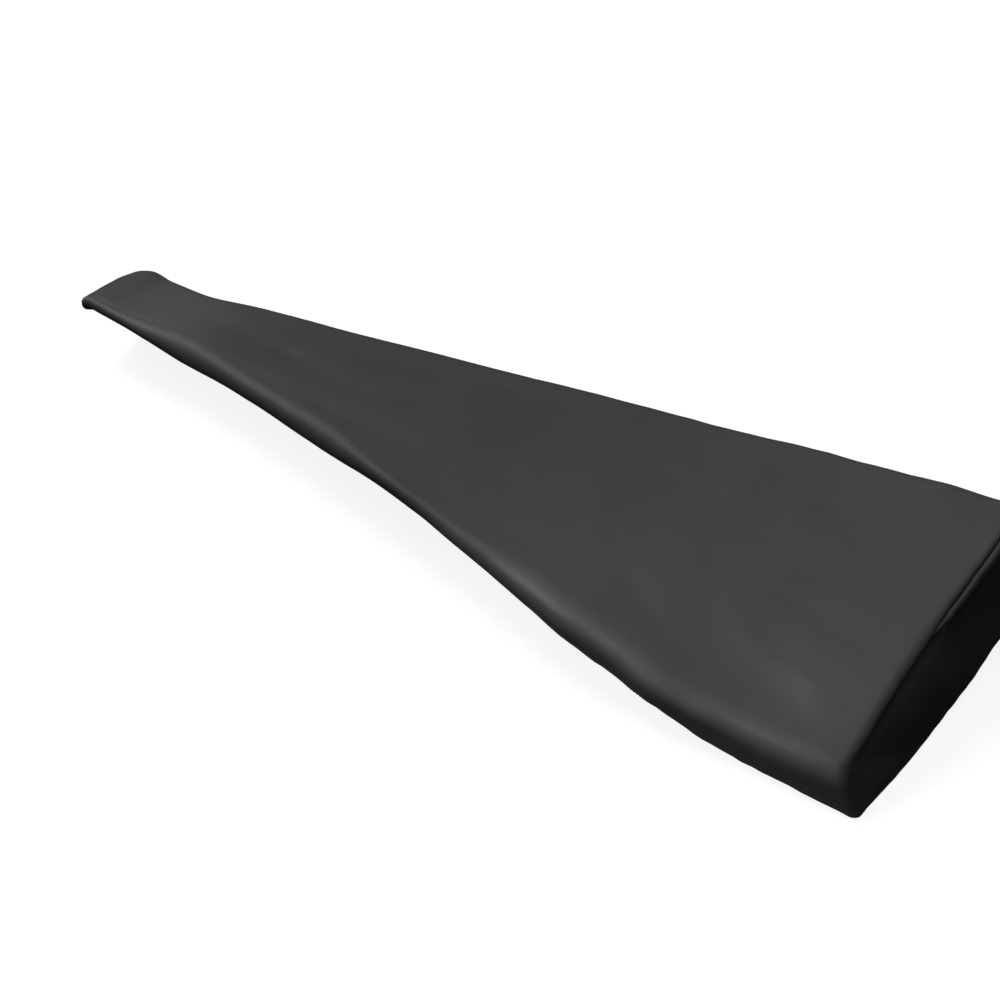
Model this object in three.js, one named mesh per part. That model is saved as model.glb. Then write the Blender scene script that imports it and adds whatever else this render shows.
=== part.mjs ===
// A fitted dust cover for a long keyboard, drawn back at its left front, so that its front edge
// lies in one long diagonal fold and only the right end is still fully fitted.
// Three sewn cloth panels: the main panel (top, front skirt and back skirt in one length) and two ends.
// Millimetres, +Z up, +X along the length to the fitted end, +Y to the back.
// The origin is on the underside of the top, at the middle, where what it covers holds it up.
import * as THREE from "three";

// Cloth and seams
const CLOTH = 2;
const SEAM_GAP = 0.32;

// How far round the edge of an end its seam lies, in degrees: lower at the front, higher at the back
const SEAM = { frontAngle: 78, backAngle: 52, frontY: -70, backY: 110 };

// Cloth colour and finish
const CLOTH_COLOUR = 0x3b3b3d;
const CLOTH_ROUGHNESS = 0.9;

// The whole cover; heights are measured up from the plane of the hem
const UNDERSIDE_AT_MIDDLE = 94;
const LEFT_END = { x: -668, side: -1, roll: 7 };
const RIGHT_END = { x: 655, side: 1, roll: 8 };
const BACK_ROLL = 16;

// The back hem: how far it is drawn in, and how far it is lifted at the left corner over a length
const BACK_HEM = { drawnIn: 4, lift: 7, length: 60 };

// The right end leans out to the foot of its front corner, and less and less back to fadesAtY
const FLARE = { out: 15, height: 40, length: 90, depth: 300, fadesAtY: 150 };

// How fast the top's swelling rises from the front edge and falls off to the back edge
const SWELL = { rise: 2, fall: 3 };

// The section across the cover at each x:
//   backY, backH    outermost reach and top of the rounded back edge
//   frontY, frontH  outermost reach and top of the rolled front edge
//   reach, rise     half the depth and half the height of that roll, which is elliptic
//   face            straight drop of the front skirt below the roll
//   foot            radius of the turn at the foot of that skirt
//   curl, tuck      degrees that the skirt turns under there, and the cloth past that turn
//   crown           how far the top swells above a straight line, at its most
const COLUMNS = [
  "x", "backY", "backH", "frontY", "frontH", "reach", "rise", "face", "foot", "curl", "tuck", "crown",
];
const SECTIONS = [
  [-668, 112, 91.5, 30, 90, 8.5, 8.5, 1, 9, 25, 2, 0],
  [-645, 128, 96, 30, 93, 8.5, 8.5, 1.5, 8, 75, 8, 1],
  [-620, 131, 98.5, 27, 93, 8.5, 8.5, 1.5, 7.5, 78, 9, -1],
  [-585, 131, 91.5, 23, 92.5, 9, 8.5, 1.5, 7, 80, 10, -1],
  [-500, 129, 88.8, 14, 92, 15, 13, 1, 7, 85, 12, 0],
  [-400, 133, 92, 6, 92, 25, 23, 0.5, 7, 90, 14, 0],
  [-250, 134, 97, -17, 91, 20, 17, 2, 7, 90, 14, 1],
  [-80, 138, 101, -48, 92.5, 22, 20, 1, 7, 90, 14, 2],
  [60, 141, 105, -75, 88.5, 12, 10.5, 3.5, 7, 90, 14, 3],
  [115, 142, 107, -85, 84, 12.5, 11, 2, 7, 90, 14, 3],
  [180, 143, 109, -100, 81, 15.5, 14, 0.5, 7, 90, 14, 4],
  [310, 143, 114, -130, 82, 30, 20.5, 3.5, 7, 90, 12, 5],
  [355, 144, 115, -139, 80, 40, 24, 6, 7, 86, 11, 5],
  [400, 145, 117, -141, 75, 47, 27, 8.5, 7.5, 76, 7, 6],
  [460, 145, 120, -148, 63, 49, 26, 8.5, 8, 60, 4, 7],
  [515, 145, 122, -148, 53.5, 46, 25.5, 12, 12, 28, 2, 8],
  [580, 144, 125, -148, 47, 36, 25, 12.5, 17, 10, 2, 8],
  [668, 142, 127, -149, 46, 24, 20, 22.5, 17, 5, 1, 8],
];

// Soft troughs in the top, each along a line from one point to another
const TROUGHS = [
  { from: [-401, 67], to: [-228, 53], width: 20, depth: 2 },
  { from: [-106, 36], to: [30, 45], width: 18, depth: 1.6 },
  { from: [-118, -11], to: [36, -19], width: 18, depth: 1.8 },
  { from: [497, 76], to: [650, 76], width: 18, depth: 1.5 },
  { from: [552, -17], to: [625, -24], width: 16, depth: 1 },
];

// The hems of the end panels, from the front corner to the back one
const RIGHT_HEM = { inFromCorner: 4, arch: 18, archSkew: 4 };
const LEFT_HEM = { inFromCorner: 6, belowLip: 8 };

// How finely each stretch of the section, the length and the end panels are divided
const STEPS = { tuck: 2, curl: 4, face: 2, front: 5, top: 12, back: 5, skirt: 4 };
const LENGTH_STEPS = 36;
const EDGE_STEPS = 3;
const TANGENT_STEPS = 5;
const END_STEPS = 5;

// One column of the table at x, by a cubic between its rows that never overshoots them
function columnAt(name, x) {
  const c = COLUMNS.indexOf(name);
  const last = SECTIONS.length - 1;
  const secant = (i) => (SECTIONS[i + 1][c] - SECTIONS[i][c]) / (SECTIONS[i + 1][0] - SECTIONS[i][0]);
  const slope = (i) => {
    if (i === 0 || i === last) return 0;
    const before = secant(i - 1);
    const after = secant(i);
    return before * after > 0 ? (2 * before * after) / (before + after) : 0;
  };
  let i = 0;
  while (i < last - 1 && SECTIONS[i + 1][0] < x) i += 1;
  const width = SECTIONS[i + 1][0] - SECTIONS[i][0];
  const s = THREE.MathUtils.clamp((x - SECTIONS[i][0]) / width, 0, 1);
  const rise = s * s * (3 - 2 * s);
  const value = SECTIONS[i][c] + (SECTIONS[i + 1][c] - SECTIONS[i][c]) * rise;
  return value + width * s * (1 - s) * ((1 - s) * slope(i) - s * slope(i + 1));
}

// Depth of the troughs at a point of the top
function troughDepth(x, y) {
  const point = new THREE.Vector3(x, y, 0);
  const nearest = new THREE.Vector3();
  return TROUGHS.reduce((sum, trough) => {
    const line = new THREE.Line3(new THREE.Vector3(...trough.from), new THREE.Vector3(...trough.to));
    const away = line.closestPointToPoint(point, true, nearest).distanceTo(point) / trough.width;
    return sum + trough.depth * Math.exp(-away * away);
  }, 0);
}

// Points along a straight stretch or a round one, each with the angle that its face looks to
function straight(from, to, angle, steps) {
  return Array.from({ length: steps + 1 }, (_, k) => ({
    y: THREE.MathUtils.lerp(from.y, to.y, k / steps),
    h: THREE.MathUtils.lerp(from.h, to.h, k / steps),
    angle,
  }));
}

function onRound(centre, reach, rise, angle) {
  const across = reach * Math.cos(angle);
  const up = rise * Math.sin(angle);
  const size = Math.hypot(across, up);
  return { y: centre.y + (reach * across) / size, h: centre.h + (rise * up) / size, angle };
}

function round(centre, reach, rise, fromAngle, toAngle, steps) {
  return Array.from({ length: steps + 1 }, (_, k) =>
    onRound(centre, reach, rise, THREE.MathUtils.lerp(fromAngle, toAngle, k / steps)),
  );
}

// The swelling of the top at a share of the way to the back, from none at either edge to one
function swell(share) {
  const shape = (s) => s ** SWELL.rise * (1 - s) ** SWELL.fall;
  return shape(share) / shape(SWELL.rise / (SWELL.rise + SWELL.fall));
}

// The outer face of the main panel at x, from the front hem over the top to the back hem
function outline(x) {
  const at = (name) => columnAt(name, x);
  const front = { y: at("frontY") + at("reach"), h: at("frontH") - at("rise") };
  const back = { y: at("backY") - BACK_ROLL, h: at("backH") - BACK_ROLL };
  const foot = { y: at("frontY") + at("foot"), h: front.h - at("face") };

  // The top runs along the line that touches both rounded edges
  let up = Math.PI / 2;
  for (let k = 0; k < TANGENT_STEPS; k += 1) {
    const from = onRound(front, at("reach"), at("rise"), up);
    const to = onRound(back, BACK_ROLL, BACK_ROLL, up);
    up = Math.PI / 2 + Math.atan2(to.h - from.h, to.y - from.y);
  }

  const turned = Math.PI + THREE.MathUtils.degToRad(at("curl"));
  const curl = round(foot, at("foot"), at("foot"), turned, Math.PI, STEPS.curl);
  const hem = {
    y: curl[0].y - Math.sin(turned) * at("tuck"),
    h: curl[0].h + Math.cos(turned) * at("tuck"),
  };
  const frontEdge = round(front, at("reach"), at("rise"), Math.PI, up, STEPS.front);
  const backEdge = round(back, BACK_ROLL, BACK_ROLL, up, 0, STEPS.back);
  const top = straight(frontEdge.at(-1), backEdge[0], up, STEPS.top);
  top.forEach((point, k) => {
    const s = k / STEPS.top;
    const lift = at("crown") * swell(s) - troughDepth(x, point.y) * Math.sin(Math.PI * s);
    point.y += lift * Math.cos(up);
    point.h += lift * Math.sin(up);
  });
  const level = THREE.MathUtils.smoothstep(x, LEFT_END.x, LEFT_END.x + BACK_HEM.length);
  const backHem = { y: at("backY") - BACK_HEM.drawnIn, h: BACK_HEM.lift * (1 - level) };
  const stretches = [
    straight(hem, curl[0], turned, STEPS.tuck),
    curl,
    straight(curl.at(-1), frontEdge[0], Math.PI, STEPS.face),
    frontEdge,
    top,
    backEdge,
    straight(backEdge.at(-1), backHem, 0, STEPS.skirt),
  ];
  return stretches.flatMap((points, k) => (k === 0 ? points : points.slice(1)));
}

// How far the foot of the right front corner stands out at a point
function flareAt(x, y, h) {
  const along = THREE.MathUtils.smoothstep(x, RIGHT_END.x - FLARE.length, RIGHT_END.x);
  const low = THREE.MathUtils.clamp(1 - h / FLARE.height, 0, 1);
  const forward = THREE.MathUtils.clamp((FLARE.fadesAtY - y) / FLARE.depth, 0, 1);
  return FLARE.out * along * low * forward;
}

// The angle round the edge of an end at which its seam lies
function seamAngle(point) {
  const share = THREE.MathUtils.smoothstep(point.y, SEAM.frontY, SEAM.backY);
  return THREE.MathUtils.degToRad(THREE.MathUtils.lerp(SEAM.frontAngle, SEAM.backAngle, share));
}

// A point of an outline in space, turned by angle round the edge of an end and sunk by depth
function place(point, end, x, angle, depth) {
  const reach = end.roll - depth;
  const inset = end.roll - reach * Math.cos(angle);
  const y = point.y - inset * Math.cos(point.angle);
  const h = point.h - inset * Math.sin(point.angle);
  const out = x + end.side * reach * Math.sin(angle);
  return new THREE.Vector3(out + flareAt(out, y, h), y, h);
}

// One closed sheet from the grid of its outer face and the matching grid of its inner face
function sheet(outer, inner) {
  const rows = outer.length;
  const columns = outer[0].length;
  const outside = (i, j) => i * columns + j;
  const inside = (i, j) => (rows + i) * columns + j;
  const index = [];
  const quad = (a, b, c, d) => index.push(a, b, c, a, c, d);
  for (let i = 0; i < rows - 1; i += 1) {
    for (let j = 0; j < columns - 1; j += 1) {
      quad(outside(i, j), outside(i + 1, j), outside(i + 1, j + 1), outside(i, j + 1));
      quad(inside(i, j), inside(i, j + 1), inside(i + 1, j + 1), inside(i + 1, j));
    }
    const end = columns - 1;
    quad(outside(i, 0), inside(i, 0), inside(i + 1, 0), outside(i + 1, 0));
    quad(outside(i, end), outside(i + 1, end), inside(i + 1, end), inside(i, end));
  }
  for (let j = 0; j < columns - 1; j += 1) {
    const end = rows - 1;
    quad(outside(0, j), outside(0, j + 1), inside(0, j + 1), inside(0, j));
    quad(outside(end, j), inside(end, j), inside(end, j + 1), outside(end, j + 1));
  }
  const corners = [...outer.flat(), ...inner.flat()];
  const geometry = new THREE.BufferGeometry().setFromPoints(corners).setIndex(index);
  geometry.computeVertexNormals();
  return geometry;
}

// Where the main panel's sections stand: round the left edge, along the length, round the right edge.
// turn is the share of the way round an edge to its seam.
function mainStations() {
  const leftX = LEFT_END.x + LEFT_END.roll;
  const rightX = RIGHT_END.x - RIGHT_END.roll;
  const stations = [];
  for (let k = EDGE_STEPS; k > 0; k -= 1) {
    stations.push({ end: LEFT_END, x: leftX, turn: k / EDGE_STEPS });
  }
  for (let k = 0; k <= LENGTH_STEPS; k += 1) {
    const end = k < LENGTH_STEPS / 2 ? LEFT_END : RIGHT_END;
    stations.push({ end, x: THREE.MathUtils.lerp(leftX, rightX, k / LENGTH_STEPS), turn: 0 });
  }
  for (let k = 1; k <= EDGE_STEPS; k += 1) {
    stations.push({ end: RIGHT_END, x: rightX, turn: k / EDGE_STEPS });
  }
  return stations;
}

function mainPanel() {
  const face = (depth) =>
    mainStations().map(({ end, x, turn }) => {
      const across = outline(x + end.side * end.roll * turn);
      return across.map((point) => place(point, end, x, turn * seamAngle(point), depth));
    });
  return sheet(face(0), face(CLOTH));
}

// An end panel: a border that carries on round the edge from the seam, then a bowed face down to its hem.
// hemAt gives the hem for a share of the way from the front corner to the back one.
function endPanel(end, seamPoints, hemAt) {
  const gapAngle = SEAM_GAP / (end.roll - CLOTH);
  const edgeX = end.x - end.side * end.roll;
  const face = (depth) => {
    const rows = [];
    for (let k = 0; k <= EDGE_STEPS; k += 1) {
      const share = k / EDGE_STEPS;
      const angle = (point) => THREE.MathUtils.lerp(seamAngle(point) + gapAngle, Math.PI / 2, share);
      rows.push(seamPoints.map((point) => place(point, end, edgeX, angle(point), depth)));
    }
    const border = rows.at(-1);
    for (let k = 1; k <= END_STEPS; k += 1) {
      rows.push(
        border.map((corner, j) => {
          const hem = hemAt(j / (border.length - 1), border);
          const down = corner.clone().lerp(hem, k / END_STEPS);
          const bowed = Math.sin((Math.PI / 2) * (k / END_STEPS));
          down.x = THREE.MathUtils.lerp(corner.x, hem.x - end.side * depth, bowed);
          return down;
        }),
      );
    }
    return end.side > 0 ? rows : rows.map((row) => row.reverse());
  };
  return sheet(face(0), face(CLOTH));
}

function rightEndPanel() {
  const hemAt = (s, border) => {
    const frontY = border[0].y + RIGHT_HEM.inFromCorner;
    const backY = border.at(-1).y - RIGHT_HEM.inFromCorner;
    const y = THREE.MathUtils.lerp(frontY, backY, s);
    const level = THREE.MathUtils.lerp(border[0].z, border.at(-1).z, s);
    const h = level + RIGHT_HEM.arch * Math.sin(Math.PI * s ** RIGHT_HEM.archSkew);
    return new THREE.Vector3(RIGHT_END.x + flareAt(RIGHT_END.x, y, h), y, h);
  };
  return endPanel(RIGHT_END, outline(RIGHT_END.x), hemAt);
}

// The left end's hem climbs from the back corner to the drawn-back front edge
function leftEndPanel() {
  const upper = outline(LEFT_END.x).slice(STEPS.tuck + STEPS.curl + STEPS.face);
  const hemAt = (s, border) => {
    const lip = border[0];
    const corner = border.at(-1);
    const y = THREE.MathUtils.lerp(lip.y + LEFT_HEM.inFromCorner, corner.y - LEFT_HEM.inFromCorner, s);
    const h = THREE.MathUtils.lerp(lip.z - LEFT_HEM.belowLip, corner.z, s);
    return new THREE.Vector3(LEFT_END.x, y, h);
  };
  return endPanel(LEFT_END, upper, hemAt);
}

const panels = {
  main_panel: mainPanel(),
  right_end_panel: rightEndPanel(),
  left_end_panel: leftEndPanel(),
};

const sewn = new THREE.Group();
sewn.position.z = -UNDERSIDE_AT_MIDDLE;
for (const [name, geometry] of Object.entries(panels)) {
  const cloth = new THREE.MeshStandardMaterial({
    color: CLOTH_COLOUR,
    roughness: CLOTH_ROUGHNESS,
    metalness: 0,
  });
  const panel = new THREE.Mesh(geometry, cloth);
  panel.name = name;
  sewn.add(panel);
}

const cover = new THREE.Group();
cover.add(sewn);

export default cover;
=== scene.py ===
import math
from collections import namedtuple

import bmesh
import bpy
from mathutils import Euler, Matrix, Vector, noise


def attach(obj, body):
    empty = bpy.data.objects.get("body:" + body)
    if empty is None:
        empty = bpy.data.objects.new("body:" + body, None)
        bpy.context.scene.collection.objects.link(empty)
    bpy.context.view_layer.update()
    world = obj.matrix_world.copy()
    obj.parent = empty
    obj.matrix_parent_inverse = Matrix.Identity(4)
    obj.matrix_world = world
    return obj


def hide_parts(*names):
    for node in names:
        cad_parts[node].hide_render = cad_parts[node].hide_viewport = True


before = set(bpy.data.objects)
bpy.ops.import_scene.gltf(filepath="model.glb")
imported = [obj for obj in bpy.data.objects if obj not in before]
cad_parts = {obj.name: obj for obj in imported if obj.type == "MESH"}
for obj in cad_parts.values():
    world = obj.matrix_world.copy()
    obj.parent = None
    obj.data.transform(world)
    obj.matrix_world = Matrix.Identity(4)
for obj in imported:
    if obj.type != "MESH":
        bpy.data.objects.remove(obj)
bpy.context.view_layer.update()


# Main panel: the top, the front skirt and the back skirt, cut in one length of soft woven polyester.
# It is pulled down at the right and drawn back at the left, so its front edge rolls under along a
# long diagonal. Nothing but its own fit holds it, and its hems are turned in and stitched.
MM = 0.001
HEM_TO_ORIGIN = 94
CLOTH = 0.8
HEM_THICKNESS = 2.2
HEM_DEPTH = 12
HEM_FADE = 2

# Sections across the cover, in millimetres, with heights measured up from the plane of the hem. reach
# and rise shape the front roll, face is the upright below it, foot, curl (in degrees) and tuck turn
# its edge under, and crown is the swell of the top.
Section = namedtuple(
    "Section", "x back_y back_h front_y front_h reach rise face foot curl tuck crown"
)
SECTIONS = [
    Section(-668, 112, 91.5, 30, 90, 8.5, 8.5, 1, 9, 25, 2, 0),
    Section(-645, 128, 96, 30, 93, 8.5, 8.5, 1.5, 8, 75, 8, 1),
    Section(-620, 131, 98.5, 27, 93, 8.5, 8.5, 1.5, 7.5, 78, 9, -1),
    Section(-585, 131, 91.5, 23, 92.5, 9, 8.5, 1.5, 7, 80, 10, -1),
    Section(-500, 129, 88.8, 14, 92, 15, 13, 1, 7, 85, 12, 0),
    Section(-400, 133, 92, 6, 92, 25, 23, 0.5, 7, 90, 14, 0),
    Section(-250, 134, 97, -17, 91, 20, 17, 2, 7, 90, 14, 1),
    Section(-80, 138, 101, -48, 92.5, 22, 20, 1, 7, 90, 14, 2),
    Section(60, 141, 105, -75, 88.5, 12, 10.5, 3.5, 7, 90, 14, 3),
    Section(115, 142, 107, -85, 84, 12.5, 11, 2, 7, 90, 14, 3),
    Section(180, 143, 109, -100, 81, 15.5, 14, 0.5, 7, 90, 14, 4),
    Section(310, 143, 114, -130, 82, 30, 20.5, 3.5, 7, 90, 12, 5),
    Section(355, 144, 115, -139, 80, 40, 24, 6, 7, 86, 11, 5),
    Section(400, 145, 117, -141, 75, 47, 27, 8.5, 7.5, 76, 7, 6),
    Section(460, 145, 120, -148, 63, 49, 26, 8.5, 8, 60, 4, 7),
    Section(515, 145, 122, -148, 53.5, 46, 25.5, 12, 12, 28, 2, 8),
    Section(580, 144, 125, -148, 47, 36, 25, 12.5, 17, 10, 2, 8),
    Section(668, 142, 127, -149, 46, 24, 20, 22.5, 17, 5, 1, 8),
]
BACK_ROLL = 16
BACK_HEM_DRAWN_IN = 4
BACK_HEM_LIFT = 7
BACK_HEM_LIFT_LENGTH = 60
SWELL_RISE = 2
SWELL_FALL = 3

# The two ends: where each stands, the radius of the edge that turns down to it, and the height of
# the ridge that its seam allowance raises along the seam
End = namedtuple("End", "x side roll ridge")
LEFT_END = End(-668, -1, 7, 0.5)
RIGHT_END = End(655, 1, 8, 3.4)

# The foot of the right front corner stands out, less and less up the face, along it and to the back
FLARE_OUT = 15
FLARE_HEIGHT = 40
FLARE_LENGTH = 90
FLARE_DEPTH = 300
FLARE_FADES_AT_Y = 150

# The seam of an end lies part way round its edge, lower at the front than at the back, in degrees.
# Both edges of cloth turn in there. Towards the back it opens to a groove beside the ridge, and small
# gathers lift the cloth along it.
SEAM_FRONT_ANGLE = 62
SEAM_BACK_ANGLE = 52
SEAM_FRONT_Y = -70
SEAM_BACK_Y = 110
SEAM_CLOSED_Y = -28
SEAM_OPEN_Y = 20
SEAM_LIP_WIDTH = 5
SEAM_LIP_DEPTH = 2.6
SEAM_ALLOWANCE = (2, 4)
GATHER_SIZE = 13
GATHER_DEPTH = 0.9
GATHER_WIDTH = 14
GATHER_SEED = 0.5

# How many rows of faces each stretch of the section has, and how many columns the length has
ROWS = {"tuck": 4, "curl": 10, "face": 7, "front": 12, "top": 58, "back": 10, "skirt": 16}
EDGE_COLUMNS = 10
EDGE_CROWDING = 1.5
LENGTH_COLUMNS = 320
HEM_CROWDING = 1.7
TANGENT_STEPS = 5

# Soft creases of the top, each along a line: a trough where depth is above 0, a ridge where it is below
Crease = namedtuple("Crease", "from_x from_y to_x to_y width depth")
CREASES = [
    Crease(-610, 50, -450, 62, 34, -1.6),
    Crease(-429, 78, -244, 53, 16, 2.2),
    Crease(-260, 55, -85, 28, 14, 1.6),
    Crease(-330, 30, -190, 12, 13, -0.8),
    Crease(-106, 36, 30, 45, 16, 1.3),
    Crease(-118, -11, 36, -19, 15, 1.4),
    Crease(-150, 92, 51, 109, 15, 1.4),
    Crease(51, 109, 273, 121, 14, 1.4),
    Crease(40, 60, 190, 40, 22, -0.9),
    Crease(150, -10, 290, -40, 20, 0.9),
    Crease(330, 70, 420, 60, 12, -0.7),
    Crease(419, 16, 498, 27, 13, 1.3),
    Crease(489, -20, 527, -15, 9, -0.8),
    Crease(498, -33, 533, -23, 9, 0.8),
    Crease(551, -20, 585, -11, 9, -0.9),
    Crease(552, -34, 625, -40, 13, 0.9),
    Crease(545, 40, 566, 46, 9, 0.9),
    Crease(497, 76, 640, 80, 11, 1.0),
    Crease(470, 100, 560, 96, 12, -0.7),
    Crease(655, 90, 655, -110, 18, -1.2),
    Crease(450, -112, 497, -114, 10, 1.0),
    Crease(539, -112, 585, -106, 10, 1.0),
    Crease(419, 124, 460, 124, 7, -0.7),
    Crease(500, 126, 539, 126, 6, -0.7),
    Crease(575, 117, 590, 120, 6, -0.8),
]
EDGE_FADE = 0.1

# Unevenness of the cloth: broad swells, wrinkles that are strongest by the fitted end, fine ones only
# there, and the slack of the skirts, which grows down to the hem
UNEVEN_SIZE = 120
UNEVEN_DEPTH = 0.8
WRINKLE_LENGTH = 46
WRINKLE_WIDTH = 20
WRINKLE_DEPTH = 0.7
WRINKLE_LEAST_X = 50
WRINKLE_MOST_X = 450
WRINKLE_LEAST = 0.45
FINE_LENGTH = 22
FINE_WIDTH = 13
FINE_DEPTH = 0.55
FINE_LEAST_X = 150
FINE_MOST_X = 480
SLACK_SIZE = 70
SLACK_DEPTH = 3.0

# The hem is turned in once and stitched: a groove along the stitches, and small puckers between them
STITCH_INSET = 9
STITCH_GROOVE = 0.45
GROOVE_WIDTH = 3
PUCKER_SIZE = 11
PUCKER_DEPTH = 0.5

Point = namedtuple("Point", "y h angle")


def section_size(name, x):
    """One size of the section at x, by a cubic between the table's rows that never overshoots them."""
    knots = [(section.x, getattr(section, name)) for section in SECTIONS]
    secants = [(b[1] - a[1]) / (b[0] - a[0]) for a, b in zip(knots, knots[1:])]

    def slope(i):
        if i == 0 or i == len(secants) or secants[i - 1] * secants[i] <= 0:
            return 0
        return 2 * secants[i - 1] * secants[i] / (secants[i - 1] + secants[i])

    i = 0
    while i < len(secants) - 1 and knots[i + 1][0] < x:
        i += 1
    width = knots[i + 1][0] - knots[i][0]
    t = min(max((x - knots[i][0]) / width, 0), 1)
    rise = t * t * (3 - 2 * t)
    value = knots[i][1] + (knots[i + 1][1] - knots[i][1]) * rise
    return value + width * t * (1 - t) * ((1 - t) * slope(i) - t * slope(i + 1))


def smooth(value, low, high):
    """From 0 at low to 1 at high, with no corner at either end."""
    t = min(max((value - low) / (high - low), 0), 1)
    return t * t * (3 - 2 * t)


def straight(start, end, angle, rows, crowding=1):
    """Points from start to end, closer together near the end where crowding is over 1."""
    shares = [1 - (1 - k / rows) ** crowding for k in range(rows + 1)]
    return [
        Point(start.y + (end.y - start.y) * s, start.h + (end.h - start.h) * s, angle)
        for s in shares
    ]


def on_round(y, h, reach, rise, angle):
    """The point of an ellipse whose face looks to an angle."""
    across = reach * math.cos(angle)
    up = rise * math.sin(angle)
    size = math.hypot(across, up)
    return Point(y + reach * across / size, h + rise * up / size, angle)


def arc(y, h, reach, rise, start, end, rows):
    """Points round an ellipse from one angle to another."""
    angles = [start + (end - start) * k / rows for k in range(rows + 1)]
    return [on_round(y, h, reach, rise, angle) for angle in angles]


def swell(s):
    """The crown of the top, from 0 at its two edges to 1 at its most."""
    def shape(t):
        return t**SWELL_RISE * (1 - t) ** SWELL_FALL

    return shape(s) / shape(SWELL_RISE / (SWELL_RISE + SWELL_FALL))


def outline(x):
    """The outer face across the cover at x, from the front hem over the top to the back hem."""
    size = {name: section_size(name, x) for name in Section._fields[1:]}
    reach, rise, foot = size["reach"], size["rise"], size["foot"]
    front_roll = (size["front_y"] + reach, size["front_h"] - rise, reach, rise)
    back_roll = (size["back_y"] - BACK_ROLL, size["back_h"] - BACK_ROLL, BACK_ROLL, BACK_ROLL)
    foot_roll = (size["front_y"] + foot, size["front_h"] - rise - size["face"], foot, foot)
    up = math.pi / 2
    for _ in range(TANGENT_STEPS):
        a = on_round(*front_roll, up)
        b = on_round(*back_roll, up)
        up = math.pi / 2 + math.atan2(b.h - a.h, b.y - a.y)
    turned = math.pi + math.radians(size["curl"])

    curl = arc(*foot_roll, turned, math.pi, ROWS["curl"])
    front = arc(*front_roll, math.pi, up, ROWS["front"])
    back = arc(*back_roll, up, 0, ROWS["back"])
    hem = Point(
        curl[0].y - math.sin(turned) * size["tuck"],
        curl[0].h + math.cos(turned) * size["tuck"],
        turned,
    )
    top = []
    for k, point in enumerate(straight(front[-1], back[0], up, ROWS["top"])):
        lift = size["crown"] * swell(k / ROWS["top"])
        top.append(Point(point.y + lift * math.cos(up), point.h + lift * math.sin(up), up))
    level = smooth(x, LEFT_END.x, LEFT_END.x + BACK_HEM_LIFT_LENGTH)
    back_hem = Point(size["back_y"] - BACK_HEM_DRAWN_IN, BACK_HEM_LIFT * (1 - level), 0)
    stretches = [
        straight(hem, curl[0], turned, ROWS["tuck"]),
        curl,
        straight(curl[-1], front[0], math.pi, ROWS["face"]),
        front,
        top,
        back,
        straight(back[-1], back_hem, 0, ROWS["skirt"], HEM_CROWDING),
    ]
    return stretches[0] + [point for stretch in stretches[1:] for point in stretch[1:]]


def flare(x, y, h):
    """How far the foot of the right front corner stands out at a point."""
    along = smooth(x, RIGHT_END.x - FLARE_LENGTH, RIGHT_END.x)
    low = min(max(1 - h / FLARE_HEIGHT, 0), 1)
    forward = min(max((FLARE_FADES_AT_Y - y) / FLARE_DEPTH, 0), 1)
    return FLARE_OUT * along * low * forward


def seam_angle(y):
    """How far round the edge of an end its seam lies."""
    share = smooth(y, SEAM_FRONT_Y, SEAM_BACK_Y)
    return math.radians(SEAM_FRONT_ANGLE + (SEAM_BACK_ANGLE - SEAM_FRONT_ANGLE) * share)


def seam_opening(y):
    """How far the seam of an end is open: from 0 at the front to 1 at the back."""
    return smooth(y, SEAM_CLOSED_Y, SEAM_OPEN_Y)


def lip_fall(distance, y):
    """How far the rounded lip at a seam has fallen away at a distance from the seam."""
    inside = max(1 - distance / SEAM_LIP_WIDTH, 0)
    return SEAM_LIP_DEPTH * seam_opening(y) * (1 - math.sqrt(1 - inside**2))


def gathers(distance, y):
    """How far the small gathers along a seam lift the cloth at a distance from the seam."""
    gather = noise.noise(Vector((y / GATHER_SIZE, GATHER_SEED, 0))) * GATHER_DEPTH
    return gather * seam_opening(y) * (1 - smooth(distance, 0, GATHER_WIDTH))


def on_cover(point, end, x, turn, lift):
    """A point of an outline in space, turned round the edge of an end and lifted off its face."""
    reach = end.roll + lift
    inset = end.roll - reach * math.cos(turn)
    y = point.y - inset * math.cos(point.angle)
    h = point.h - inset * math.sin(point.angle)
    out = x + end.side * reach * math.sin(turn)
    return Vector((out + flare(out, y, h), y, h - HEM_TO_ORIGIN)) * MM


def crease_depth(x, y):
    """How deep the creases of the top are at a point: each is soft across and at its two ends."""
    depth = 0
    for crease in CREASES:
        run_x = crease.to_x - crease.from_x
        run_y = crease.to_y - crease.from_y
        share = ((x - crease.from_x) * run_x + (y - crease.from_y) * run_y) / (run_x**2 + run_y**2)
        share = min(max(share, 0), 1)
        away = math.hypot(x - crease.from_x - run_x * share, y - crease.from_y - run_y * share)
        depth += crease.depth * math.exp(-((away / crease.width) ** 2))
    return depth


def lengths(points):
    """How far along the section each of its points lies."""
    along = [0]
    for a, b in zip(points, points[1:]):
        along.append(along[-1] + math.hypot(b.y - a.y, b.h - a.h))
    return along


def hem_work(along, hem_distance):
    """How far the groove and the puckers of a stitched hem lift the cloth, at a place along the hem."""
    groove = math.exp(-(((hem_distance - STITCH_INSET) / GROOVE_WIDTH) ** 2)) * STITCH_GROOVE
    pucker = noise.noise(Vector((along / PUCKER_SIZE, 0, 0))) * PUCKER_DEPTH
    return pucker * (1 - smooth(hem_distance, STITCH_INSET, 2 * STITCH_INSET)) - groove


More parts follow.
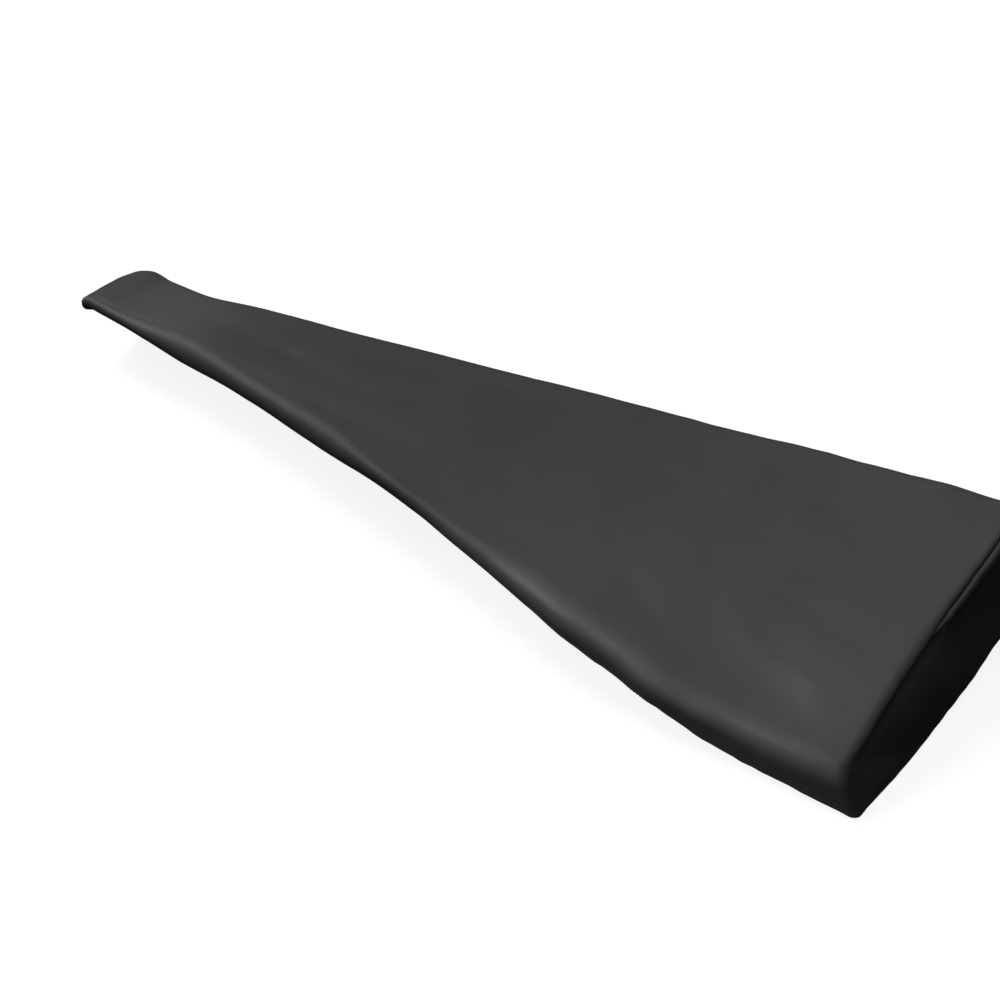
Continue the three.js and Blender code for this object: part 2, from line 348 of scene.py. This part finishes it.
def main_lift(x, row, point, hem_distance):
    """How far the main panel stands off its plain outline at a point."""
    first_top = sum(ROWS[name] for name in ("tuck", "curl", "face", "front"))
    share = min(max((row - first_top) / ROWS["top"], 0), 1)
    on_top = smooth(share, 0, EDGE_FADE) * smooth(1 - share, 0, EDGE_FADE)
    uneven = noise.noise(Vector((x, point.y, point.h)) / UNEVEN_SIZE) * UNEVEN_DEPTH
    fitted = WRINKLE_LEAST + (1 - WRINKLE_LEAST) * smooth(x, WRINKLE_LEAST_X, WRINKLE_MOST_X)
    wrinkle = noise.noise(Vector((x / WRINKLE_LENGTH, point.y / WRINKLE_WIDTH, point.h / WRINKLE_WIDTH)))
    slack = noise.noise(Vector((x / SLACK_SIZE, 0, share))) * SLACK_DEPTH
    hanging = smooth(row, first_top + ROWS["top"] + ROWS["back"], sum(ROWS.values()))
    fine = noise.noise(Vector((x / FINE_LENGTH, point.y / FINE_WIDTH, 0))) * FINE_DEPTH
    fine *= smooth(x, FINE_LEAST_X, FINE_MOST_X)
    lift = uneven + wrinkle * WRINKLE_DEPTH * fitted + fine + slack * hanging
    if on_top > 0:
        lift -= crease_depth(x, point.y) * on_top
    return lift + hem_work(x, hem_distance)


def cloth_sheet(name, columns, rows, place):
    """A sheet made from a flat grid. place gives a grid point's place, its length and width on the
    cloth in metres, and its distance from the hem in millimetres."""
    bm = bmesh.new()
    weave = bm.loops.layers.uv.new("weave")
    hem_group = bm.verts.layers.deform.verify()
    bmesh.ops.create_grid(bm, x_segments=columns, y_segments=rows, size=0.5)
    on_cloth = {}
    for vert in bm.verts:
        column = round((vert.co.x + 0.5) * columns)
        row = round((vert.co.y + 0.5) * rows)
        vert.co, on_cloth[vert.index], hem_distance = place(column, row)
        vert[hem_group][0] = 1 - smooth(hem_distance, HEM_DEPTH, HEM_DEPTH + HEM_FADE)
    for face in bm.faces:
        face.smooth = True
        for loop in face.loops:
            loop[weave].uv = on_cloth[loop.vert.index]
    mesh = bpy.data.meshes.new(name)
    bm.to_mesh(mesh)
    bm.free()
    sheet = bpy.data.objects.new(name, mesh)
    bpy.context.scene.collection.objects.link(sheet)
    sheet.vertex_groups.new(name="hem")
    thickness = sheet.modifiers.new("thickness", "SOLIDIFY")
    thickness.thickness = HEM_THICKNESS * MM
    thickness.offset = -1
    thickness.vertex_group = "hem"
    thickness.thickness_vertex_group = CLOTH / HEM_THICKNESS
    return sheet


# The main panel's columns: the seam allowance and the edge at the left, the length, and the same at
# the right. turn is the share of the way round an edge to its seam, sunk the depth of the allowance.
Station = namedtuple("Station", "end x turn sunk")


def edge_stations(end):
    edge_x = end.x - end.side * end.roll
    shares = [1 - (1 - k / EDGE_COLUMNS) ** EDGE_CROWDING for k in range(1, EDGE_COLUMNS + 1)]
    turned_in = [Station(end, edge_x, 1, sunk) for sunk in SEAM_ALLOWANCE]
    return [Station(end, edge_x, share, 0) for share in shares] + turned_in


main_stations = edge_stations(LEFT_END)[::-1]
LEFT_EDGE_X = LEFT_END.x + LEFT_END.roll
RIGHT_EDGE_X = RIGHT_END.x - RIGHT_END.roll
for k in range(LENGTH_COLUMNS + 1):
    end = LEFT_END if k < LENGTH_COLUMNS / 2 else RIGHT_END
    x = LEFT_EDGE_X + (RIGHT_EDGE_X - LEFT_EDGE_X) * k / LENGTH_COLUMNS
    main_stations.append(Station(end, x, 0, 0))
main_stations += edge_stations(RIGHT_END)

main_reaches = [s.x + s.end.side * s.end.roll * s.turn for s in main_stations]
main_outlines = [outline(x) for x in main_reaches]
main_lengths = [lengths(points) for points in main_outlines]


def main_place(column, row):
    station = main_stations[column]
    x = main_reaches[column]
    point = main_outlines[column][row]
    along = main_lengths[column]
    hem_distance = min(along[row], along[-1] - along[row])
    turn = station.turn * seam_angle(point.y)
    lift = main_lift(x, row, point, hem_distance)
    from_seam = (1 - station.turn) * seam_angle(point.y) * station.end.roll
    from_seam += abs(station.end.x - station.x) - station.end.roll
    lift += gathers(from_seam, point.y) - lip_fall(from_seam, point.y) - station.sunk
    place = on_cover(point, station.end, station.x, turn, lift)
    return place, (x * MM, along[row] * MM), hem_distance


main_panel = cloth_sheet(
    "cover_main_panel", len(main_stations) - 1, sum(ROWS.values()), main_place
)


def woven_cloth(name, pitch):
    """Charcoal-black polyester in a fine plain weave, matt, its threads a little uneven in shade.
    Wave bands repeat every pi / 10 at scale 1, so the scale follows from the pitch of the threads."""
    material = bpy.data.materials.new(name)
    material.use_nodes = True
    nodes = material.node_tree.nodes
    links = material.node_tree.links
    shader = nodes["Principled BSDF"]
    shader.inputs["Roughness"].default_value = 0.5
    shader.inputs["Specular IOR Level"].default_value = 0.5
    shader.inputs["Sheen Weight"].default_value = 0.045
    shader.inputs["Sheen Roughness"].default_value = 0.4

    cloth = nodes.new("ShaderNodeUVMap")
    cloth.uv_map = "weave"
    threads = []
    for direction in ("X", "Y"):
        wave = nodes.new("ShaderNodeTexWave")
        wave.bands_direction = direction
        wave.inputs["Scale"].default_value = math.pi / 10 / pitch
        links.new(cloth.outputs["UV"], wave.inputs["Vector"])
        threads.append(wave.outputs["Fac"])
    weave = nodes.new("ShaderNodeMath")
    weave.operation = "ADD"
    links.new(threads[0], weave.inputs[0])
    links.new(threads[1], weave.inputs[1])

    shades = []
    broad_patches = (9, 2)
    single_threads = (700, 1)
    for scale, detail in (broad_patches, single_threads):
        patches = nodes.new("ShaderNodeTexNoise")
        patches.inputs["Scale"].default_value = scale
        patches.inputs["Detail"].default_value = detail
        links.new(cloth.outputs["UV"], patches.inputs["Vector"])
        shades.append(patches.outputs["Fac"])
    shade = nodes.new("ShaderNodeMath")
    shade.operation = "ADD"
    links.new(shades[0], shade.inputs[0])
    links.new(shades[1], shade.inputs[1])
    dye = nodes.new("ShaderNodeValToRGB")
    dye.color_ramp.elements[0].position = 0.6
    dye.color_ramp.elements[0].color = (0.037, 0.037, 0.038, 1)
    dye.color_ramp.elements[1].position = 1.4
    dye.color_ramp.elements[1].color = (0.047, 0.047, 0.048, 1)
    links.new(shade.outputs["Value"], dye.inputs["Fac"])
    links.new(dye.outputs["Color"], shader.inputs["Base Color"])

    bump = nodes.new("ShaderNodeBump")
    bump.inputs["Strength"].default_value = 0.25
    bump.inputs["Distance"].default_value = 0.0001
    links.new(weave.outputs["Value"], bump.inputs["Height"])
    links.new(bump.outputs["Normal"], shader.inputs["Normal"])
    return material


cover_cloth = woven_cloth("charcoal_cloth", pitch=0.9 * MM)
main_panel.data.materials.append(cover_cloth)

# The stitches of the hems: short round-ended lengths of thread, half sunk in the cloth
STITCH_PITCH = 4
STITCH_LENGTH = 2.9
THREAD = 0.75
STITCH_SIDES = 6
STITCH_RINGS = 4


def stitch_line(place, columns, rows):
    """The line of stitches along a hem: a point for each column, and the way down to the hem there.
    The rows run from the hem inwards."""
    line = []
    for column in columns:
        spots = [place(column, row) for row in rows]
        for (low, _, near), (high, _, far) in zip(spots, spots[1:]):
            if near <= STITCH_INSET < far:
                share = (STITCH_INSET - near) / (far - near)
                line.append((low.lerp(high, share), (low - high).normalized()))
                break
    return line


def sew(name, line, thread):
    """A row of stitches along a line, joined in one mesh."""
    stitch_bm = bmesh.new()
    bmesh.ops.create_uvsphere(stitch_bm, u_segments=STITCH_SIDES, v_segments=STITCH_RINGS, radius=1)
    for face in stitch_bm.faces:
        face.smooth = True
    one_stitch = bpy.data.meshes.new("one_stitch")
    bm = bmesh.new()
    pitch = STITCH_PITCH * MM
    size = Matrix.Diagonal((THREAD / 2 * MM, THREAD / 2 * MM, STITCH_LENGTH / 2 * MM, 1))
    travelled = pitch / 2
    for (a, down), (b, _) in zip(line, line[1:]):
        step = (b - a).length
        along = (b - a) / step
        out = down.cross(along).normalized()
        turn = Matrix((out, along.cross(out), along)).transposed().to_4x4()
        while travelled < step:
            stitch = stitch_bm.copy()
            stitch.transform(Matrix.Translation(a + along * travelled) @ turn @ size)
            stitch.to_mesh(one_stitch)
            stitch.free()
            bm.from_mesh(one_stitch)
            travelled += pitch
        travelled -= step
    mesh = bpy.data.meshes.new(name)
    bm.to_mesh(mesh)
    bm.free()
    stitch_bm.free()
    bpy.data.meshes.remove(one_stitch)
    stitches = bpy.data.objects.new(name, mesh)
    bpy.context.scene.collection.objects.link(stitches)
    stitches.data.materials.append(thread)
    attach(stitches, "root")
    return stitches


def twisted_thread(name, twist):
    """Black polyester sewing thread, a little glossier than the cloth, its twist as fine ridges."""
    material = bpy.data.materials.new(name)
    material.use_nodes = True
    nodes = material.node_tree.nodes
    links = material.node_tree.links
    shader = nodes["Principled BSDF"]
    shader.inputs["Roughness"].default_value = 0.45
    place = nodes.new("ShaderNodeTexCoord")
    strands = nodes.new("ShaderNodeTexWave")
    strands.bands_direction = "DIAGONAL"
    strands.inputs["Scale"].default_value = math.pi / 10 / twist
    links.new(place.outputs["Object"], strands.inputs["Vector"])
    dye = nodes.new("ShaderNodeValToRGB")
    dye.color_ramp.elements[0].color = (0.022, 0.022, 0.023, 1)
    dye.color_ramp.elements[1].color = (0.036, 0.036, 0.037, 1)
    links.new(strands.outputs["Fac"], dye.inputs["Fac"])
    links.new(dye.outputs["Color"], shader.inputs["Base Color"])
    bump = nodes.new("ShaderNodeBump")
    bump.inputs["Strength"].default_value = 0.3
    bump.inputs["Distance"].default_value = 0.00005
    links.new(strands.outputs["Fac"], bump.inputs["Height"])
    links.new(bump.outputs["Normal"], shader.inputs["Normal"])
    return material


hem_thread = twisted_thread("black_thread", twist=0.3 * MM)
main_columns = range(len(SEAM_ALLOWANCE), len(main_stations) - len(SEAM_ALLOWANCE))
front_rows = range(ROWS["tuck"] + ROWS["curl"] + ROWS["face"] + 1)
back_rows = range(sum(ROWS.values()), sum(ROWS.values()) - ROWS["skirt"], -1)
front_line = stitch_line(main_place, main_columns, front_rows)
back_line = stitch_line(main_place, main_columns, back_rows)
front_stitches = sew("cover_front_hem_stitches", front_line, hem_thread)
back_stitches = sew("cover_back_hem_stitches", back_line, hem_thread)
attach(main_panel, "root")
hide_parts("main_panel")


# Right end panel: the boxed end of the same cloth, sewn to the main panel along the top edge and down
# both corners. The seam sits in the rounded edge, and the hem arches a little towards the back.
RIGHT_HEM_IN = 4
RIGHT_HEM_ARCH = 18
RIGHT_HEM_SKEW = 4
RIDGE_WIDTH = 9.5
RIDGE_ROWS = 8
BORDER_ROWS = 6
END_ROWS = 24
END_SLACK_SIZE = 75
END_SLACK_DEPTH = 3.0
BEYOND_HEM = 3 * HEM_DEPTH
SHORT_FACE = 4 * HEM_DEPTH

# Where the seam is closed, the face stands out a little below it, as a soft shoulder
SHOULDER_OUT = 4.5
SHOULDER_DEPTH = 8
SHOULDER_FADES_AT_Y = -130
SHOULDER_SHARE = 0.3

# Rows of an end panel before its flat face: the allowance, the ridge along the seam, the rounded border
Border = namedtuple("Border", "ridge share sunk")
border_rows = [Border(0, 0, sunk) for sunk in SEAM_ALLOWANCE[::-1]]
border_rows += [Border(math.pi * k / RIDGE_ROWS, 0, 0) for k in range(RIDGE_ROWS + 1)]
border_rows += [Border(math.pi, k / BORDER_ROWS, 0) for k in range(1, BORDER_ROWS + 1)]


def end_border(end, point, border):
    """A point of an end panel's border: up over the ridge, then round the edge to the flat face."""
    opening = seam_opening(point.y)
    across = RIDGE_WIDTH * opening / 2 * (1 - math.cos(border.ridge))
    turn = seam_angle(point.y) + across / end.roll
    turn += (math.pi / 2 - turn) * border.share
    lift = (end.ridge + gathers(0, point.y)) * opening * math.sin(border.ridge) - border.sunk
    return on_cover(point, end, end.x - end.side * end.roll, turn, lift)


right_outline = outline(RIGHT_END.x)
right_borders = [[end_border(RIGHT_END, p, row) for p in right_outline] for row in border_rows]


def right_hem(share):
    front = right_borders[-1][0] / MM
    back = right_borders[-1][-1] / MM
    y = (front.y + RIGHT_HEM_IN) * (1 - share) + (back.y - RIGHT_HEM_IN) * share
    level = front.z * (1 - share) + back.z * share + HEM_TO_ORIGIN
    h = level + RIGHT_HEM_ARCH * math.sin(math.pi * share**RIGHT_HEM_SKEW)
    return Vector((RIGHT_END.x + flare(RIGHT_END.x, y, h), y, h - HEM_TO_ORIGIN)) * MM


def end_face(end, start, hem, row):
    """A point of an end panel's hanging face, on its way from the border down to the hem."""
    share = 1 - (1 - row / END_ROWS) ** HEM_CROWDING
    place = start.lerp(hem, share)
    hem_distance = (hem - place).length / MM
    place.x = start.x + (hem.x - start.x) * math.sin(math.pi / 2 * share)
    fallen = (place - start).length / MM
    full = (1 - math.exp(-fallen / SHOULDER_DEPTH)) * (1 - smooth(share, SHOULDER_SHARE, 1))
    full *= smooth(start.y / MM, SHOULDER_FADES_AT_Y, SEAM_FRONT_Y) * (1 - seam_opening(start.y / MM))
    place.x += end.side * SHOULDER_OUT * full * MM
    uneven = noise.noise(place / END_SLACK_SIZE / MM) * END_SLACK_DEPTH * smooth(share, 0, 1)
    worked = hem_work(place.y / MM, hem_distance) * smooth((hem - start).length / MM, 0, SHORT_FACE)
    place.x += end.side * (uneven + worked) * MM
    return place, hem_distance


def right_place(column, row):
    last = len(border_rows) - 1
    column = len(right_outline) - 1 - column
    if row <= last:
        place = right_borders[row][column]
        hem_distance = BEYOND_HEM
    else:
        hem = right_hem(column / (len(right_outline) - 1))
        place, hem_distance = end_face(RIGHT_END, right_borders[-1][column], hem, row - last)
    return place, (place.y, place.z), hem_distance


right_end_panel = cloth_sheet(
    "cover_right_end_panel", len(right_outline) - 1, len(border_rows) - 1 + END_ROWS, right_place
)
right_end_panel.data.materials.append(cover_cloth)
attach(right_end_panel, "root")
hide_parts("right_end_panel")
face_rows = range(len(border_rows) - 1, len(border_rows) + END_ROWS)
right_line = stitch_line(right_place, range(len(right_outline)), face_rows[::-1])
right_stitches = sew("cover_right_hem_stitches", right_line, hem_thread)


# Left end panel: the same boxed end on the other side. Its front part is drawn back with the main
# panel, so its hem climbs from the back corner to the rolled front edge.
LEFT_HEM_IN = 6
LEFT_HEM_BELOW_LIP = 8

first_upper = ROWS["tuck"] + ROWS["curl"] + ROWS["face"]
left_outline = outline(LEFT_END.x)[first_upper:]
left_borders = [[end_border(LEFT_END, p, row) for p in left_outline] for row in border_rows]


def left_hem(share):
    lip = left_borders[-1][0]
    corner = left_borders[-1][-1]
    y = (lip.y + LEFT_HEM_IN * MM) * (1 - share) + (corner.y - LEFT_HEM_IN * MM) * share
    z = (lip.z - LEFT_HEM_BELOW_LIP * MM) * (1 - share) + corner.z * share
    return Vector((LEFT_END.x * MM, y, z))


def left_place(column, row):
    last = len(border_rows) - 1
    if row <= last:
        place = left_borders[row][column]
        hem_distance = BEYOND_HEM
    else:
        hem = left_hem(column / (len(left_outline) - 1))
        place, hem_distance = end_face(LEFT_END, left_borders[-1][column], hem, row - last)
    return place, (place.y, place.z), hem_distance


left_end_panel = cloth_sheet(
    "cover_left_end_panel", len(left_outline) - 1, len(border_rows) - 1 + END_ROWS, left_place
)
left_end_panel.data.materials.append(cover_cloth)
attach(left_end_panel, "root")
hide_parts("left_end_panel")
left_line = stitch_line(left_place, range(len(left_outline)), face_rows[::-1])
left_stitches = sew("cover_left_hem_stitches", left_line, hem_thread)


# Stage: a plain pale floor a hair under the hem, a room that is brighter overhead, a key light and
# six soft lights, and the camera at the photograph's viewing angle.
FLOOR_SIZE = 12
FLOOR_GAP = 0.3
floor_mesh = bpy.data.meshes.new("floor")
floor_bm = bmesh.new()
bmesh.ops.create_grid(floor_bm, x_segments=1, y_segments=1, size=FLOOR_SIZE)
floor_z = -(HEM_TO_ORIGIN + FLOOR_GAP) * MM
bmesh.ops.translate(floor_bm, verts=floor_bm.verts, vec=(0, 0, floor_z))
floor_bm.to_mesh(floor_mesh)
floor_bm.free()
floor = bpy.data.objects.new("floor", floor_mesh)
bpy.context.scene.collection.objects.link(floor)
floor_paint = bpy.data.materials.new("pale_floor")
floor_paint.use_nodes = True
floor_shader = floor_paint.node_tree.nodes["Principled BSDF"]
floor_shader.inputs["Base Color"].default_value = (0.2, 0.2, 0.2, 1)
floor_shader.inputs["Roughness"].default_value = 0.9
floor_shader.inputs["Specular IOR Level"].default_value = 0
floor_shader.inputs["Emission Color"].default_value = (1, 1, 1, 1)
floor_shader.inputs["Emission Strength"].default_value = 0.88
floor.data.materials.append(floor_paint)
floor.visible_diffuse = False
floor.visible_glossy = False

world = bpy.data.worlds.new("soft_room")
world.use_nodes = True
world_nodes = world.node_tree.nodes
world_links = world.node_tree.links
direction = world_nodes.new("ShaderNodeTexCoord")
height = world_nodes.new("ShaderNodeSeparateXYZ")
room_light = world_nodes.new("ShaderNodeMapRange")
room_light.inputs["From Min"].default_value = 0.05
room_light.inputs["From Max"].default_value = 1.0
room_light.inputs["To Min"].default_value = 0.0
room_light.inputs["To Max"].default_value = 0.36
world_links.new(direction.outputs["Generated"], height.inputs["Vector"])
world_links.new(height.outputs["Z"], room_light.inputs["Value"])
seen = world_nodes.new("ShaderNodeLightPath")
backdrop = world_nodes.new("ShaderNodeMath")
backdrop.operation = "MAXIMUM"
world_links.new(room_light.outputs["Result"], backdrop.inputs[0])
world_links.new(seen.outputs["Is Camera Ray"], backdrop.inputs[1])
world_links.new(backdrop.outputs["Value"], world_nodes["Background"].inputs["Strength"])
world_nodes["Background"].inputs["Color"].default_value = (1, 1, 1, 1)
bpy.context.scene.world = world


# The key light comes from the left and lights the weave without a gloss of its own
key_data = bpy.data.lights.new("key_light", "SUN")
key_data.energy = 1.75
key_data.angle = math.radians(25)
key_light = bpy.data.objects.new("key_light", key_data)
key_light.rotation_euler = Vector((0.53, -0.12, -0.83)).to_track_quat("-Z", "Y").to_euler()
key_light.visible_glossy = False
bpy.context.scene.collection.objects.link(key_light)


def soft_light(name, place, aim, size, spread, power):
    """A square soft light at a place, aimed at a point, its beam held to a spread in degrees."""
    data = bpy.data.lights.new(name, "AREA")
    data.shape = "SQUARE"
    data.size = size
    data.spread = math.radians(spread)
    data.energy = power
    light = bpy.data.objects.new(name, data)
    light.location = place
    light.rotation_euler = (Vector(aim) - Vector(place)).to_track_quat("-Z", "Y").to_euler()
    bpy.context.scene.collection.objects.link(light)
    return light


# The left and middle lights draw the soft gloss along the rolled edge, and the lip light adds gloss
# alone at the right. The front and back lights lift the shade of the right part with no gloss, and
# the end light makes the paler patch near the left end.
soft_light("left_light", (-2.2, -0.1, 0.95), (-0.2, 0, 0), 0.8, 180, 3.2)
soft_light("middle_light", (-1.8, -0.35, 1.4), (0.1, -0.05, 0), 0.7, 180, 3.6)
front_light = soft_light("front_light", (-0.3, -1.5, 0.28), (0.5, -0.14, -0.03), 0.6, 20, 0.3)
front_light.visible_glossy = False
lip_light = soft_light("lip_light", (-0.88, -1.02, 1.26), (0.425, -0.13, -0.02), 0.25, 6, 0.064)
lip_light.visible_diffuse = False
back_light = soft_light("back_light", (0.6, 0.8, 1.3), (0.56, 0.08, 0.02), 0.4, 20, 0.09)
back_light.visible_glossy = False
soft_light("end_light", (0.2, 0.1, 0.9), (-0.5, 0.06, 0), 0.14, 7, 0.028)

camera_data = bpy.data.cameras.new("camera")
camera_data.lens = 60.76
camera_data.sensor_width = 36
camera = bpy.data.objects.new("camera", camera_data)
camera.location = (1.2662, -0.9320, 0.8544)
camera.rotation_euler = Euler((math.radians(57.738), math.radians(9.915), math.radians(44.122)))
bpy.context.scene.collection.objects.link(camera)
bpy.context.scene.camera = camera
bpy.context.scene.view_settings.view_transform = "Standard"
